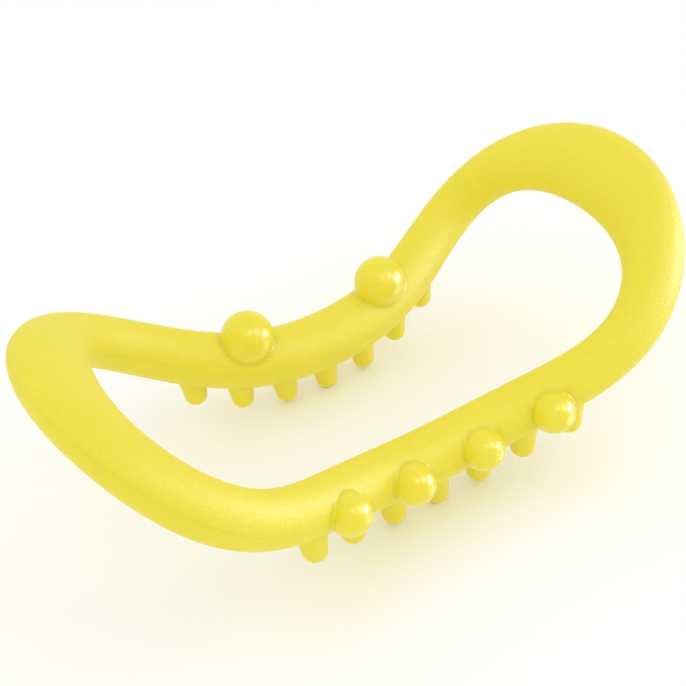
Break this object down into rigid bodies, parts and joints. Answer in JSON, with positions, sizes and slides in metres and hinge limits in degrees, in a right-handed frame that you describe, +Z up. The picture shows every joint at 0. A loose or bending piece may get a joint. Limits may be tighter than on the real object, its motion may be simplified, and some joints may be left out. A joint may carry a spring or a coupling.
{
  "type": "massage stretch ring",
  "caption": "Bowed peanut-shaped loop of hollow plastic tube for stretching and self-massage, with rounded pegs under both arms and massage balls on them.",
  "frame": {"origin": "under the middle of the ring, level with the tips of the two lowest pegs", "axes": "+X along the ring from end to end, +Y from the front arm with the small balls to the rear arm with the large balls, +Z up"},
  "size_m": [0.233, 0.1273, 0.0881],
  "materials": {
    "shell_plastic": "satin, fine even grain, moulded in colour",
    "ball_plastic": "satin, slightly smoother than the shells"
  },
  "bodies": {
    "root": {"lower_shell": "shell_plastic", "upper_shell": "shell_plastic", "large_ball_left": "ball_plastic", "large_ball_right": "ball_plastic", "small_ball_1": "ball_plastic", "small_ball_2": "ball_plastic", "small_ball_3": "ball_plastic", "small_ball_4": "ball_plastic"}
  },
  "joints": []
}
